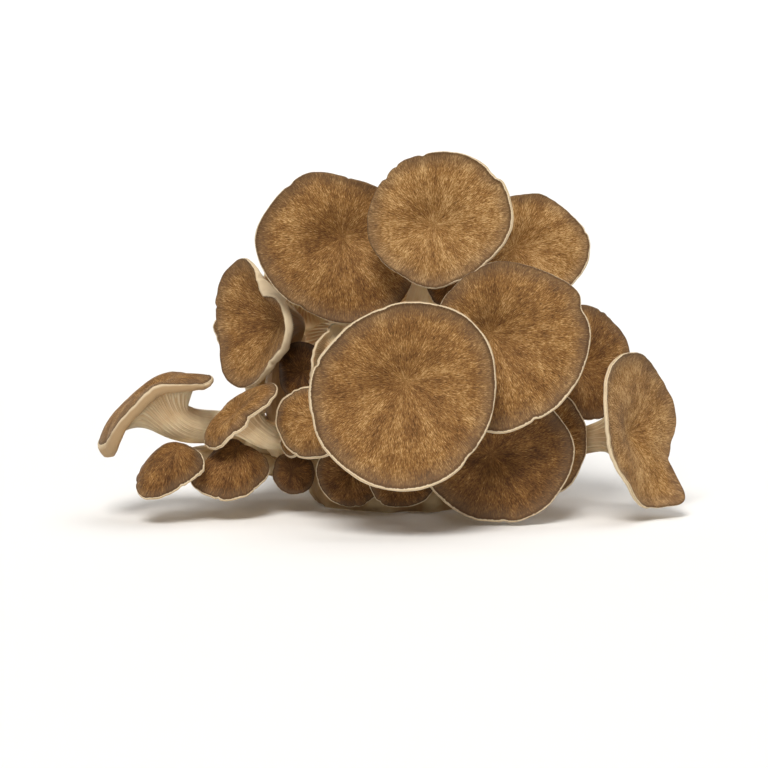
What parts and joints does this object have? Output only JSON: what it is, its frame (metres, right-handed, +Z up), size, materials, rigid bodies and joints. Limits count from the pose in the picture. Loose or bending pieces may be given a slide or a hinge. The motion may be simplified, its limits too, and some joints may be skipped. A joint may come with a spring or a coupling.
{
  "type": "oyster mushroom cluster",
  "caption": "Cluster of grey-brown oyster mushrooms growing from one common base, cut flat underneath so that it stands on a table.",
  "frame": {"origin": "middle of the flat cut face under the base", "axes": "+Z up from the cut face; -Y towards the viewer of the fullest side; +X to that viewer's right, along the longest extent"},
  "size_m": [0.2856, 0.194, 0.1825],
  "materials": {
    "fruit_body": "golden brown velvety cap with fine radial fibres and a greyer rim; cream gills and stem",
    "butt": "matte cream flesh, pinched and creased, with a paler cut face"
  },
  "bodies": {
    "root": {"base": "butt", "mushroom_back_left": "fruit_body", "mushroom_back_low_left": "fruit_body", "mushroom_back_low_right": "fruit_body", "mushroom_back_middle": "fruit_body", "mushroom_back_right": "fruit_body", "mushroom_back_upper_left": "fruit_body", "mushroom_back_upper_right": "fruit_body", "mushroom_beside_front": "fruit_body", "mushroom_droop_left": "fruit_body", "mushroom_droop_middle": "fruit_body", "mushroom_far_right": "fruit_body", "mushroom_front_large": "fruit_body", "mushroom_gill_side": "fruit_body", "mushroom_inner_left": "fruit_body", "mushroom_inner_low": "fruit_body", "mushroom_inner_small": "fruit_body", "mushroom_inner_top": "fruit_body", "mushroom_left_funnel": "fruit_body", "mushroom_left_tip": "fruit_body", "mushroom_low_left": "fruit_body", "mushroom_low_middle": "fruit_body", "mushroom_low_right": "fruit_body", "mushroom_low_right_back": "fruit_body", "mushroom_right_back": "fruit_body", "mushroom_right_middle": "fruit_body", "mushroom_saddle": "fruit_body", "mushroom_side_view": "fruit_body", "mushroom_top_left": "fruit_body", "mushroom_top_middle": "fruit_body", "mushroom_top_right": "fruit_body"}
  },
  "joints": []
}
